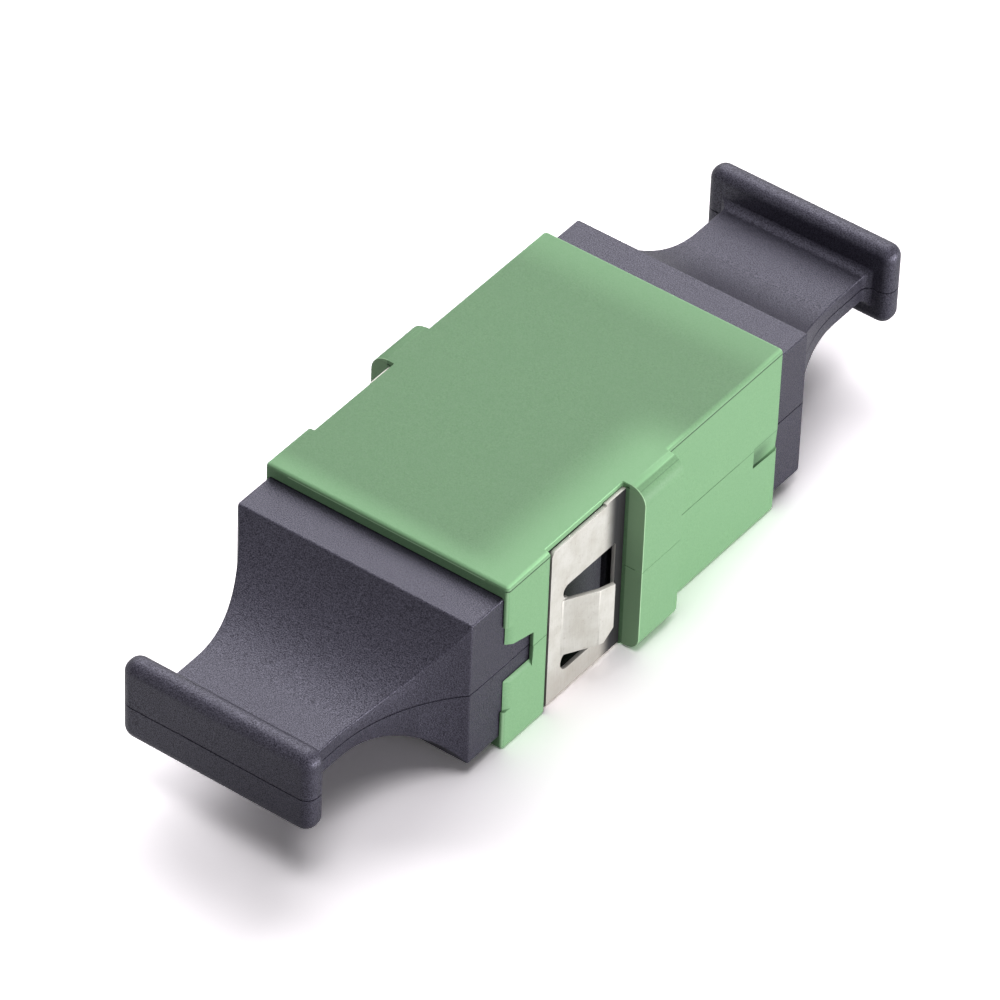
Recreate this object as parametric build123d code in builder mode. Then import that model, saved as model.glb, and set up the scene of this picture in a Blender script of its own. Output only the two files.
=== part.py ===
from build123d import *
import os

os.makedirs("parts", exist_ok=True)

# Frame: millimetres, +Z up, +Y along the coupling axis from the near mouth to the far mouth,
# +X across. The origin is the centre of the underside, halfway between the two mouths.

# Housing, one outer form split into an upper and a lower shell
housing_width = 13.0
housing_height = 9.3
half_length = 10.06
corner_radius = 0.22
end_edge_radius = 0.2

# Mounting flange, round the middle of the sides
flange_reach = 0.9
flange_half_thickness = 1.42
flange_bottom_z = 0.1
flange_top_radius = 0.9
flange_bottom_radius = 0.68
flange_far_corner_radius = 0.5

# Walls and steps of the cavity, from the mouth inwards
mouth_side_wall = 0.2
mouth_floor = 0.64
mouth_depth = 2.6
mouth_corner_radius = 0.2
bore_side_step = 0.7
bore_floor_step = 0.51
bore_corner_radius = 0.3
arm_space_side_wall = 0.5
arm_space_floor_step = 0.1
arm_space_end_gap = 0.9
pocket_side_wall = 0.35
pocket_depth = 1.0

# Side notches at the near mouth, heights measured from the mid plane
notch_length = 2.0
notch_rise_at_mouth = 1.32
notch_rise_at_end = 0.81
notch_drop = 0.8
notch_ledge_fall = 0.3
relief_rise = 2.35
relief_drop = 2.5
relief_length = 0.55
relief_width = 0.26

# Blind side notches at the far mouth, with a sloped floor
blind_notch_length = 1.9
blind_notch_rise = 0.6
blind_notch_drop = 1.05
blind_notch_depth = 0.14

# Spring clip, folded from strip, and its seat near the flange
strip_thickness = 0.2
clip_recess = 0.12
clip_length = 5.28
clip_top_gap = 0.37
clip_fold_radius = 0.05
clip_corner_radius = 0.3
clip_flange_gap = 0.05
clip_tab_length = 1.4
clip_tab_rise = 0.12
seat_clearance = 0.02
seat_end_gap = 0.3
seat_window_near_margin = 0.65
seat_window_far_margin = 0.18

# Lanced tongue and the two slots that free it, heights measured from the mid plane
tongue_root_margin = 0.95
slot_far_margin = 0.58
slot_rise = 1.68
slot_drop = 3.25
slot_lead = 0.9
slot_corner_radius = 0.14
tongue_rise = 0.95
tongue_drop = 2.2
tongue_stand_out = 0.1
tongue_length = 2.3
tongue_last_run = 0.75
tongue_last_spread = 0.24
tongue_bend_radius = 0.4
tongue_corner_cut = 0.5
tongue_corner_cut_height = 0.7

# Latch insert, one facing each mouth
insert_clearance = 0.05
ferrule_window_width = 7.2
ferrule_window_height = 3.2
ferrule_window_radius = 0.4
arm_side_gap = 0.15
arm_floor_gap = 0.15
arm_thickness = 0.75
arm_tip_y = 5.2
arm_tip_chamfer = 0.25
arm_groove_start_y = 1.93
arm_groove_width = 0.37
arm_groove_depth = 0.3
hook_reach = 0.7
hook_height = 3.1
hook_tip_slope = 0.55
hook_land = 0.25
hook_back_slope = 0.35

# Dust cap, one in each mouth
cap_side_clearance = 0.03
cap_face_clearance = 0.05
cap_shoulder_gap = 0.25
cap_block_out = 2.16
cap_corner_radius = 0.14
plug_arm_gap = 0.4
plug_bore_clearance = 0.2
plug_tip_radius = 0.5
core_side_wall = 1.2
core_floor_wall = 1.1
core_depth = 1.6
core_corner_radius = 0.4
neck_length = 8.36
neck_half_width = 3.84
neck_half_height = 0.72
neck_straight_plan = 1.85
neck_straight_side = 2.4
neck_flare_radius = 0.45
grip_thickness = 1.2
grip_width = 10.14
grip_height = 4.26
grip_rise = 0.2
grip_corner_radius = 0.58
grip_front_radius = 0.46
grip_back_radius = 0.3

# Run past a face that a cut opens, and lap of two solids that are joined
cut_over = 0.5
join_lap = 0.1

# Shared heights and widths
mid_z = housing_height / 2
wall_x = housing_width / 2
flange_width = housing_width + 2 * flange_reach
mouth_width = housing_width - 2 * mouth_side_wall
mouth_height = housing_height - 2 * mouth_floor
bore_width = mouth_width - 2 * bore_side_step
bore_height = mouth_height - 2 * bore_floor_step
bore_start_y = half_length - mouth_depth
arm_space_width = housing_width - 2 * arm_space_side_wall
arm_space_height = bore_height - 2 * arm_space_floor_step
pocket_width = housing_width - 2 * pocket_side_wall

# Spring clip and seat, near side at negative Y
clip_outer_x = wall_x - clip_recess
clip_inner_x = clip_outer_x - strip_thickness
clip_mid_x = clip_outer_x - strip_thickness / 2
clip_top_z = housing_height - clip_top_gap
clip_far_y = -flange_half_thickness - clip_flange_gap
clip_near_y = clip_far_y - clip_length
seat_x = clip_inner_x - seat_clearance
seat_floor_z = strip_thickness + seat_clearance
seat_near_y = clip_near_y - seat_end_gap
seat_length = -flange_half_thickness - seat_near_y
seat_mid_y = (seat_near_y - flange_half_thickness) / 2
seat_window_near_y = clip_near_y + seat_window_near_margin
seat_window_far_y = -flange_half_thickness - seat_window_far_margin

# Latch arms
arm_outer_x = arm_space_width / 2 - arm_side_gap
arm_inner_x = arm_outer_x - arm_thickness
arm_height = arm_space_height - 2 * arm_floor_gap
arm_space_end_y = arm_tip_y + arm_space_end_gap

# Near end of the housing without its clip seat or notches; the far end is the same, turned
with BuildPart() as half_blank:
    with BuildSketch(Plane.XZ):
        with Locations((0, mid_z)):
            RectangleRounded(housing_width, housing_height, corner_radius)
    extrude(amount=half_length)
    fillet(half_blank.faces().sort_by(Axis.Y)[0].edges(), radius=end_edge_radius)
    # Flange, flush with the top, with rounded outer edges
    with BuildSketch(Plane.XZ) as flange_profile:
        with Locations((0, (housing_height + flange_bottom_z) / 2)):
            Rectangle(flange_width, housing_height - flange_bottom_z)
        fillet(flange_profile.vertices().group_by(Axis.Y)[-1], radius=flange_top_radius)
        fillet(flange_profile.vertices().group_by(Axis.Y)[0], radius=flange_bottom_radius)
    extrude(amount=flange_half_thickness)
    # Mouth, bore, space for the latch arms and pocket of the insert
    with BuildSketch(Plane.XZ.offset(half_length)):
        with Locations((0, mid_z)):
            RectangleRounded(mouth_width, mouth_height, mouth_corner_radius)
    extrude(amount=-mouth_depth, mode=Mode.SUBTRACT)
    with BuildSketch(Plane.XZ.offset(bore_start_y + join_lap)):
        with Locations((0, mid_z)):
            RectangleRounded(bore_width, bore_height, bore_corner_radius)
    extrude(amount=-bore_start_y - join_lap, mode=Mode.SUBTRACT)
    with BuildSketch(Plane.XZ.offset(arm_space_end_y)):
        with Locations((0, mid_z)):
            Rectangle(arm_space_width, arm_space_height)
    extrude(amount=-arm_space_end_y, mode=Mode.SUBTRACT)
    with BuildSketch(Plane.XZ.offset(pocket_depth)):
        with Locations((0, mid_z)):
            Rectangle(pocket_width, mouth_height)
    extrude(amount=-pocket_depth - cut_over, mode=Mode.SUBTRACT)

# Whole housing, near half and far half in one
with BuildPart() as housing_whole:
    add(half_blank.part)
    with Locations(Rotation(0, 0, 180)):
        add(half_blank.part)
    # Seat of the clip, down both sides and across the underside
    seat_cut = wall_x - seat_x + cut_over
    with Locations((seat_x + seat_cut / 2, seat_mid_y, mid_z), (-seat_x - seat_cut / 2, seat_mid_y, mid_z)):
        Box(seat_cut, seat_length, housing_height + 2 * cut_over, mode=Mode.SUBTRACT)
    with Locations((0, seat_mid_y, (seat_floor_z - cut_over) / 2)):
        Box(housing_width, seat_length, seat_floor_z + cut_over, mode=Mode.SUBTRACT)
    # Side windows that open the space of the latch arms behind the clip
    window_length = seat_window_far_y - seat_window_near_y
    with Locations((0, (seat_window_near_y + seat_window_far_y) / 2, mid_z)):
        Box(housing_width, window_length, arm_space_height, mode=Mode.SUBTRACT)
    # Side notches, open to the mouth, each with a ledge that falls outwards
    notch_slope = (notch_rise_at_mouth - notch_rise_at_end) / notch_length
    with BuildSketch(Plane.YZ.offset(-wall_x - cut_over)):
        with BuildLine():
            Polyline(
                (-half_length - cut_over, mid_z + notch_rise_at_mouth + notch_slope * cut_over),
                (-half_length + notch_length, mid_z + notch_rise_at_end),
                (-half_length + notch_length, mid_z - notch_drop),
                (-half_length - cut_over, mid_z - notch_drop),
                close=True,
            )
        make_face()
    extrude(amount=housing_width + 2 * cut_over, mode=Mode.SUBTRACT)
    ledge_slope = notch_ledge_fall / mouth_side_wall
    with BuildSketch(Plane.XZ.offset(half_length - notch_length)):
        with BuildLine():
            Polyline(
                (wall_x - mouth_side_wall, mid_z - notch_drop + join_lap),
                (wall_x + join_lap, mid_z - notch_drop + join_lap),
                (wall_x + join_lap, mid_z - notch_drop - ledge_slope * (mouth_side_wall + join_lap)),
                (wall_x - mouth_side_wall, mid_z - notch_drop),
                close=True,
            )
        make_face()
        mirror(about=Plane.YZ)
    extrude(amount=notch_length + cut_over, mode=Mode.SUBTRACT)
    # Thinned upright edge of the wall above and below each notch
    relief_slope = relief_width / relief_length
    with BuildSketch(Plane.XY.offset(mid_z - relief_drop)):
        with BuildLine():
            Polyline(
                (wall_x + join_lap, -half_length + relief_length + join_lap / relief_slope),
                (wall_x + join_lap, -half_length - join_lap),
                (wall_x - relief_width - join_lap * relief_slope, -half_length - join_lap),
                close=True,
            )
        make_face()
        mirror(about=Plane.YZ)
    extrude(amount=relief_drop + relief_rise, mode=Mode.SUBTRACT)
    # Shallow side notches with a sloped floor, deepest at the ledge
    with BuildSketch(Plane.XZ.offset(-half_length + blind_notch_length)):
        with BuildLine():
            Polyline(
                (wall_x, mid_z + blind_notch_rise),
                (wall_x + join_lap, mid_z + blind_notch_rise),
                (wall_x + join_lap, mid_z - blind_notch_drop),
                (wall_x - blind_notch_depth, mid_z - blind_notch_drop),
                close=True,
            )
        make_face()
        mirror(about=Plane.YZ)
    extrude(amount=-blind_notch_length - cut_over, mode=Mode.SUBTRACT)
    # Rounded lower corners of the flange
    with BuildSketch(Plane.YZ.offset(wall_x)) as corner_waste:
        corner_y = flange_half_thickness - flange_far_corner_radius
        corner_z = flange_bottom_z + flange_far_corner_radius
        with Locations((corner_y + flange_far_corner_radius / 2, corner_z - flange_far_corner_radius / 2)):
            Rectangle(flange_far_corner_radius, flange_far_corner_radius)
        with Locations((corner_y, corner_z)):
            Circle(flange_far_corner_radius, mode=Mode.SUBTRACT)
    extrude(amount=flange_reach + join_lap, mode=Mode.SUBTRACT)
    with BuildSketch(Plane.YZ.offset(-wall_x)):
        add(corner_waste.sketch_local)
    extrude(amount=-flange_reach - join_lap, mode=Mode.SUBTRACT)

# Upper and lower shells, moulded apart and welded along the line at mid height
with BuildPart() as housing_top:
    add(housing_whole.part)
    split(bisect_by=Plane.XY.offset(mid_z), keep=Keep.TOP)
housing_top.part.label = "housing_top"
export_step(housing_top.part, "parts/housing_top.step")

with BuildPart() as housing_bottom:
    add(housing_whole.part)
    split(bisect_by=Plane.XY.offset(mid_z), keep=Keep.BOTTOM)
housing_bottom.part.label = "housing_bottom"
export_step(housing_bottom.part, "parts/housing_bottom.step")

# Near latch insert, a plate with a ferrule window and two hooked arms
arm_groove_end_y = arm_groove_start_y + arm_groove_width
with BuildPart() as latch_insert_near:
    with BuildSketch(Plane.XZ):
        with Locations((0, mid_z)):
            Rectangle(pocket_width - 2 * insert_clearance, mouth_height - 2 * insert_clearance)
            RectangleRounded(
                ferrule_window_width, ferrule_window_height, ferrule_window_radius, mode=Mode.SUBTRACT
            )
    extrude(amount=pocket_depth)
    with BuildSketch(Plane.XY.offset(mid_z - arm_height / 2)):
        with BuildLine():
            Polyline(
                (arm_inner_x, -pocket_depth + join_lap),
                (arm_inner_x, -arm_tip_y),
                (arm_outer_x - arm_tip_chamfer, -arm_tip_y),
                (arm_outer_x, -arm_tip_y + arm_tip_chamfer),
                (arm_outer_x, -arm_groove_end_y),
                (arm_outer_x - arm_groove_depth, -arm_groove_end_y),
                (arm_outer_x - arm_groove_depth, -arm_groove_start_y),
                (arm_outer_x, -arm_groove_start_y),
                (arm_outer_x, -pocket_depth + join_lap),
                close=True,
            )
        make_face()
        mirror(about=Plane.YZ)
    extrude(amount=arm_height)
    # Latch hooks, facing each other
    hook_land_y = -arm_tip_y + hook_tip_slope
    hook_back_y = hook_land_y + hook_land + hook_back_slope
    with BuildSketch(Plane.XY.offset(mid_z - hook_height / 2)):
        with BuildLine():
            Polyline(
                (arm_inner_x + join_lap, -arm_tip_y),
                (arm_inner_x, -arm_tip_y),
                (arm_inner_x - hook_reach, hook_land_y),
                (arm_inner_x - hook_reach, hook_land_y + hook_land),
                (arm_inner_x, hook_back_y),
                (arm_inner_x + join_lap, hook_back_y),
                close=True,
            )
        make_face()
        mirror(about=Plane.YZ)
    extrude(amount=hook_height)
latch_insert_near.part.label = "latch_insert_near"
export_step(latch_insert_near.part, "parts/latch_insert_near.step")

# Far latch insert, the same moulding turned to face the far mouth
with BuildPart() as latch_insert_far:
    with Locations(Rotation(0, 0, 180)):
        add(latch_insert_near.part)
latch_insert_far.part.label = "latch_insert_far"
export_step(latch_insert_far.part, "parts/latch_insert_far.step")

# Heights and places along the side plates of the clip
slot_top_z = mid_z + slot_rise
slot_bottom_z = mid_z - slot_drop
tongue_top_z = mid_z + tongue_rise
tongue_bottom_z = mid_z - tongue_drop
tongue_root_y = clip_near_y + tongue_root_margin
slot_far_y = clip_far_y - slot_far_margin
tongue_tip_y = tongue_root_y + tongue_length
tongue_tip_x = flange_width / 2 + tongue_stand_out - strip_thickness / 2

# Spring clip, one folded strip: two side plates, the underside and two lanced tongues
with BuildPart() as spring_clip:
    with BuildSketch(Plane.XZ.offset(-clip_far_y)):
        with BuildLine():
            Polyline(
                (-clip_inner_x, clip_top_z),
                (-clip_outer_x, clip_top_z),
                (-clip_outer_x, 0),
                (clip_outer_x, 0),
                (clip_outer_x, clip_top_z),
                (clip_inner_x, clip_top_z),
                (clip_inner_x, strip_thickness),
                (-clip_inner_x, strip_thickness),
                close=True,
            )
        make_face()
    extrude(amount=clip_length)
    # Folds, one radius inside and the same plus the strip outside
    long_edges = spring_clip.edges().filter_by(Axis.Y).group_by(Axis.Z)
    fillet(long_edges[0], radius=clip_fold_radius + strip_thickness)
    inner_folds = spring_clip.edges().filter_by(Axis.Y).filter_by_position(
        Axis.Z, strip_thickness - join_lap / 10, strip_thickness + join_lap / 10
    )
    fillet(inner_folds, radius=clip_fold_radius)
    # Rounded near top corners of the side plates
    near_corners = spring_clip.edges().filter_by(Axis.X).group_by(Axis.Z)[-1].group_by(Axis.Y)[0]
    fillet(near_corners, radius=clip_corner_radius)
    # Raised tab along the top, next to the flange
    tab_y = clip_far_y - clip_tab_length / 2
    tab_z = clip_top_z + (clip_tab_rise - join_lap) / 2
    with Locations((clip_mid_x, tab_y, tab_z), (-clip_mid_x, tab_y, tab_z)):
        Box(strip_thickness, clip_tab_length, clip_tab_rise + join_lap)
    # Window left by the lanced tongue, with round slot ends at the root
    window_near_y = tongue_root_y + slot_lead
    with BuildSketch(Plane.YZ.offset(-clip_outer_x - cut_over)):
        with Locations(((window_near_y + slot_far_y) / 2, (slot_top_z + slot_bottom_z) / 2)):
            RectangleRounded(slot_far_y - window_near_y, slot_top_z - slot_bottom_z, slot_corner_radius)
        with Locations(((tongue_root_y + slot_far_y) / 2, (tongue_top_z + tongue_bottom_z) / 2)):
            Rectangle(slot_far_y - tongue_root_y, tongue_top_z - tongue_bottom_z)
        for low_z, high_z in ((tongue_top_z, slot_top_z), (slot_bottom_z, tongue_bottom_z)):
            end_radius = (high_z - low_z) / 2
            lead_length = slot_lead + slot_corner_radius - end_radius
            with Locations((tongue_root_y + end_radius, low_z + end_radius)):
                Circle(end_radius)
            with Locations((tongue_root_y + end_radius + lead_length / 2, low_z + end_radius)):
                Rectangle(lead_length, high_z - low_z)
    extrude(amount=2 * (clip_outer_x + cut_over), mode=Mode.SUBTRACT)
    # Tongues, bent out of the side plates towards the flange
    with BuildSketch(Plane.XY.offset(tongue_bottom_z)):
        with BuildLine():
            FilletPolyline(
                (clip_mid_x, tongue_root_y - tongue_bend_radius),
                (clip_mid_x, tongue_root_y),
                (tongue_tip_x - tongue_last_spread, tongue_tip_y - tongue_last_run),
                (tongue_tip_x, tongue_tip_y),
                radius=tongue_bend_radius,
            )
        trace(line_width=strip_thickness)
        mirror(about=Plane.YZ)
    extrude(amount=tongue_top_z - tongue_bottom_z)
    # Cut lower corner of each tongue's tip
    with BuildSketch(Plane.YZ.offset(-tongue_tip_x - cut_over)):
        with BuildLine():
            Polyline(
                (tongue_tip_y - tongue_corner_cut, tongue_bottom_z),
                (tongue_tip_y - tongue_corner_cut, tongue_bottom_z - join_lap),
                (tongue_tip_y + join_lap, tongue_bottom_z - join_lap),
                (tongue_tip_y + join_lap, tongue_bottom_z + tongue_corner_cut_height),
                (tongue_tip_y, tongue_bottom_z + tongue_corner_cut_height),
                close=True,
            )
        make_face()
    extrude(amount=2 * (tongue_tip_x + cut_over), mode=Mode.SUBTRACT)
spring_clip.part.label = "spring_clip"
export_step(spring_clip.part, "parts/spring_clip.step")

# Sizes of the dust cap that follow the mouth, the bore and the latch arms
cap_width = mouth_width - 2 * cap_side_clearance
cap_height = mouth_height - 2 * cap_face_clearance
block_face_y = half_length + cap_block_out
plug_step_y = bore_start_y + cap_shoulder_gap
plug_tip_y = arm_tip_y + plug_arm_gap
plug_tip_width = bore_width - 2 * plug_bore_clearance
plug_tip_height = bore_height - 2 * plug_bore_clearance
grip_inner_y = block_face_y + neck_length
neck_end_y = grip_inner_y - neck_flare_radius

# Near dust cap, one moulding: plug, block, neck and grip bar
with BuildPart() as cap_near:
    # Neck, the side profile cut to the plan profile, both with a round sweep up to the block
    neck_side_plane = Plane(origin=(-cap_width / 2, 0, mid_z), x_dir=(0, 1, 0), z_dir=(1, 0, 0))
    with BuildSketch(neck_side_plane):
        side_end_y = -neck_end_y + neck_straight_side
        side_flare = neck_half_height + neck_flare_radius
        with BuildLine():
            Polyline(
                (-block_face_y, cap_height / 2),
                (-block_face_y, 0),
                (-grip_inner_y - join_lap, 0),
                (-grip_inner_y - join_lap, side_flare),
                (-grip_inner_y, side_flare),
            )
            TangentArc((-neck_end_y, neck_half_height), (-grip_inner_y, side_flare), tangent=(-1, 0))
            Line((-neck_end_y, neck_half_height), (side_end_y, neck_half_height))
            TangentArc((side_end_y, neck_half_height), (-block_face_y, cap_height / 2), tangent=(1, 0))
        make_face()
        mirror(about=Plane.XZ)
    extrude(amount=cap_width)
    with BuildSketch(Plane.XY):
        plan_end_y = -neck_end_y + neck_straight_plan
        plan_flare = neck_half_width + neck_flare_radius
        with BuildLine():
            Polyline(
                (cap_width / 2, -block_face_y),
                (0, -block_face_y),
                (0, -grip_inner_y - join_lap),
                (plan_flare, -grip_inner_y - join_lap),
                (plan_flare, -grip_inner_y),
            )
            TangentArc((neck_half_width, -neck_end_y), (plan_flare, -grip_inner_y), tangent=(0, -1))
            Line((neck_half_width, -neck_end_y), (neck_half_width, plan_end_y))
            TangentArc((neck_half_width, plan_end_y), (cap_width / 2, -block_face_y), tangent=(0, 1))
        make_face()
        mirror(about=Plane.YZ)
    extrude(amount=housing_height, mode=Mode.INTERSECT)
    with BuildSketch(Plane.XZ.offset(block_face_y)):
        with Locations((0, mid_z)):
            RectangleRounded(cap_width, cap_height, cap_corner_radius)
    extrude(amount=neck_length + join_lap, mode=Mode.INTERSECT)
    # Block outside the mouth, running in as the plug
    with BuildSketch(Plane.XZ.offset(block_face_y)):
        with Locations((0, mid_z)):
            RectangleRounded(cap_width, cap_height, cap_corner_radius)
    extrude(amount=-(block_face_y - plug_step_y))
    with BuildSketch(Plane.XZ.offset(plug_step_y + join_lap)):
        with Locations((0, mid_z)):
            RectangleRounded(plug_tip_width, plug_tip_height, plug_tip_radius)
    extrude(amount=-(plug_step_y + join_lap - plug_tip_y))
    # Coring of the plug
    with BuildSketch(Plane.XZ.offset(plug_tip_y)):
        with Locations((0, mid_z)):
            RectangleRounded(
                plug_tip_width - 2 * core_side_wall, plug_tip_height - 2 * core_floor_wall, core_corner_radius
            )
    extrude(amount=core_depth, mode=Mode.SUBTRACT)

# Grip bar, shaped alone and then joined to the rest
with BuildPart() as grip_near:
    with BuildSketch(Plane.XZ.offset(grip_inner_y)):
        with Locations((0, mid_z + grip_rise)):
            RectangleRounded(grip_width, grip_height, grip_corner_radius)
    extrude(amount=grip_thickness)
    fillet(grip_near.faces().sort_by(Axis.Y)[0].edges(), radius=grip_front_radius)
    fillet(grip_near.faces().sort_by(Axis.Y)[-1].edges(), radius=grip_back_radius)
with BuildPart() as cap_near_whole:
    add(cap_near.part)
    add(grip_near.part)
cap_near_whole.part.label = "cap_near"
export_step(cap_near_whole.part, "parts/cap_near.step")

# Far dust cap, the same moulding turned half a turn
with BuildPart() as cap_far:
    with Locations(Rotation(0, 0, 180)):
        add(cap_near_whole.part)
cap_far.part.label = "cap_far"
export_step(cap_far.part, "parts/cap_far.step")
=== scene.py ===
"""Rectangular coupler for multi-fibre plugs, with a dust cap in each mouth, dressed around its frame."""

import logging
import math
from contextlib import contextmanager
from dataclasses import dataclass
from enum import Enum
from typing import Any, Callable, Iterator

import bmesh
import bpy
from mathutils import Matrix, Vector


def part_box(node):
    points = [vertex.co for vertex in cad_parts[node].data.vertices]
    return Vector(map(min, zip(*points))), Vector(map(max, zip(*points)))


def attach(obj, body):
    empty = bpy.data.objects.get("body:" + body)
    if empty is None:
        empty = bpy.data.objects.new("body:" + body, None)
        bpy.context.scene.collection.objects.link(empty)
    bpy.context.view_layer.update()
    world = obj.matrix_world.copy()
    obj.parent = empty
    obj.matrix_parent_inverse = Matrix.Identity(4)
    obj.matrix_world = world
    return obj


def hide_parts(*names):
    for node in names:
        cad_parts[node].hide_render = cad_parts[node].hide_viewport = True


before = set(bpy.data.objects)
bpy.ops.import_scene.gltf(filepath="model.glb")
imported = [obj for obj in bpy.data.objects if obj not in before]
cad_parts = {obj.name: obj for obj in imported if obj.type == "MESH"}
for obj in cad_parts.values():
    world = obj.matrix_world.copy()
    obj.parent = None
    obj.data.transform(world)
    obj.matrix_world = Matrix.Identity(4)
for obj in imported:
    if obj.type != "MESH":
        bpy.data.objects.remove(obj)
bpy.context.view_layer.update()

LOG = logging.getLogger("coupler")
MM = 0.001

# Points closer than this are one point, and faces that turn less than this are one face
MERGE_MM = 0.002
FLAT_DEGREES = 0.6

# How near, in millimetres, a point lies to a plane that it is picked by
NEAR = 0.01
CLOSE = 0.004
EXACT = 0.001

# How squarely a face looks along an axis to be picked as an end face
SQUARE = 0.9

# A place in metres, off every plane of symmetry, so that mirrored points aren't equally far from it
ORDER_FROM = (0.0131, -0.1017, 0.0573)

# Where most values of a noise texture lie, and the whole range that a mask takes
NOISE_SPAN = {"From Min": 0.3, "From Max": 0.7}
NARROW_SPAN = {"From Min": 0.35, "From Max": 0.65}
FULL_RANGE = {"To Min": 0.0, "To Max": 1.0}


class Body(Enum):
    """The moving bodies of the frame."""

    HOUSING = "housing"
    NEAR_CAP = "near_cap"
    FAR_CAP = "far_cap"


class Slot(Enum):
    """The record's material slots."""

    GREEN = "green_plastic"
    BLACK = "black_plastic"
    CHARCOAL = "charcoal_plastic"
    STEEL = "spring_steel"


class Element(Enum):
    """What a selection in edit mode picks."""

    EDGE = "EDGE"
    FACE = "FACE"


def hex_colour(code: str) -> tuple[float, float, float, float]:
    """Turns an sRGB hex colour to linear RGBA.

    Args:
        code: Six hex digits, with or without a hash.

    Returns:
        Red, green, blue and an alpha of one, all linear.
    """
    digits = code.lstrip("#")
    values = [int(digits[i:i + 2], 16) / 255 for i in (0, 2, 4)]
    linear = [v / 12.92 if v <= 0.04045 else ((v + 0.055) / 1.055) ** 2.4 for v in values]
    return (linear[0], linear[1], linear[2], 1.0)


def add_node(
    tree: bpy.types.NodeTree,
    kind: str,
    settings: dict[str, Any] | None = None,
    inputs: dict[str | int, Any] | None = None,
) -> bpy.types.Node:
    """Adds one shader node with its settings and links.

    Args:
        tree: The node tree that gets the node.
        kind: The node's type name.
        settings: Attributes set on the node itself.
        inputs: Values or output sockets for the node's inputs, by name or number.

    Returns:
        The new node.
    """
    node = tree.nodes.new(kind)
    for name, value in (settings or {}).items():
        setattr(node, name, value)
    for name, value in (inputs or {}).items():
        if isinstance(value, bpy.types.NodeSocket):
            tree.links.new(value, node.inputs[name])
        else:
            node.inputs[name].default_value = value
    return node


def mirrored_rays(tree: bpy.types.NodeTree) -> bpy.types.NodeSocket:
    """Tells the rays that show a background in metal, gloss or glass from those that light the object.

    Args:
        tree: The node tree of the background.

    Returns:
        One on mirror and glass rays, and zero on all others.
    """
    rays = add_node(tree, "ShaderNodeLightPath").outputs
    return add_node(tree, "ShaderNodeMath", {"operation": "MAXIMUM"}, {
        0: rays["Is Glossy Ray"], 1: rays["Is Transmission Ray"],
    }).outputs[0]


def new_material(name: str) -> tuple[bpy.types.Material, bpy.types.NodeTree]:
    """Makes an empty node material.

    Args:
        name: The material's name.

    Returns:
        The material and its node tree.
    """
    material = bpy.data.materials.new(name)
    material.use_nodes = True
    material.node_tree.nodes.clear()
    return material, material.node_tree


def choose(piece: bpy.types.Object) -> None:
    """Makes one piece the only selected and the active object.

    Args:
        piece: The object.
    """
    bpy.ops.object.select_all(action="DESELECT")
    bpy.context.view_layer.objects.active = piece
    piece.select_set(True)


@contextmanager
def editing(piece: bpy.types.Object) -> Iterator[None]:
    """Opens one piece, and nothing else, in edit mode.

    Args:
        piece: The mesh object to edit.
    """
    choose(piece)
    bpy.ops.object.mode_set(mode="EDIT")
    yield
    bpy.ops.object.mode_set(mode="OBJECT")


def pick(piece: bpy.types.Object, element: Element, test: Callable[[Any], bool]) -> None:
    """Selects, in edit mode, the edges or faces that pass a test.

    Args:
        piece: The mesh object in edit mode.
        element: Whether edges or faces are tested.
        test: Says of one edge or face whether it is selected.
    """
    def items() -> Any:
        """Gives the edges or faces of the open mesh, numbered in order.

        Returns:
            The mesh's edges or its faces.
        """
        shape = bmesh.from_edit_mesh(piece.data)
        found = shape.edges if element is Element.EDGE else shape.faces
        found.index_update()
        found.ensure_lookup_table()
        return found

    numbers = [item.index for item in items() if test(item)]
    bpy.ops.mesh.select_mode(type=element.value)
    bpy.ops.mesh.select_all(action="DESELECT")
    open_items = items()
    for number in numbers:
        open_items[number].select_set(True)
    bmesh.from_edit_mesh(piece.data).select_flush_mode()
    bmesh.update_edit_mesh(piece.data)


def ends(edge: bmesh.types.BMEdge) -> tuple[Vector, Vector]:
    """Gives the two ends of an edge in millimetres."""
    return edge.verts[0].co / MM, edge.verts[1].co / MM


def middle(face: bmesh.types.BMFace) -> Vector:
    """Gives the middle of a face in millimetres."""
    return face.calc_center_median() / MM


def merged_copy(node: str, name: str) -> bpy.types.Object:
    """Copies a CAD node's mesh and joins its loose triangles into clean faces.

    Args:
        node: The CAD node.
        name: The new piece's name.

    Returns:
        The new piece. The CAD node stays as it is.
    """
    piece = bpy.data.objects.new(name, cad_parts[node].data.copy())
    bpy.context.scene.collection.objects.link(piece)
    with editing(piece):
        bpy.ops.mesh.select_all(action="SELECT")
        bpy.ops.mesh.customdata_custom_splitnormals_clear()
        bpy.ops.mesh.remove_doubles(threshold=MERGE_MM * MM)
        bpy.ops.mesh.dissolve_limited(angle_limit=math.radians(FLAT_DEGREES))
    return piece


def apply_modifier(piece: bpy.types.Object, kind: str, settings: dict[str, Any]) -> None:
    """Adds a modifier to a piece and applies it.

    Args:
        piece: The mesh object.
        kind: The modifier's type name.
        settings: Attributes set on the modifier.
    """
    choose(piece)
    modifier = piece.modifiers.new(kind.lower(), kind)
    for name, value in settings.items():
        setattr(modifier, name, value)
    bpy.ops.object.modifier_apply(modifier=modifier.name)


def fix_order(piece: bpy.types.Object) -> None:
    """Orders the elements of a united mesh by distance from one place, so that each run gives the same mesh.

    Args:
        piece: The mesh object, which a union left in no fixed order.
    """
    cursor = bpy.context.scene.cursor
    cursor.location = ORDER_FROM
    with editing(piece):
        bpy.ops.mesh.select_all(action="SELECT")
        bpy.ops.mesh.sort_elements(type="CURSOR_DISTANCE", elements={"VERT", "EDGE", "FACE"})
    # What is added later starts at the cursor
    cursor.location = (0, 0, 0)


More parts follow.
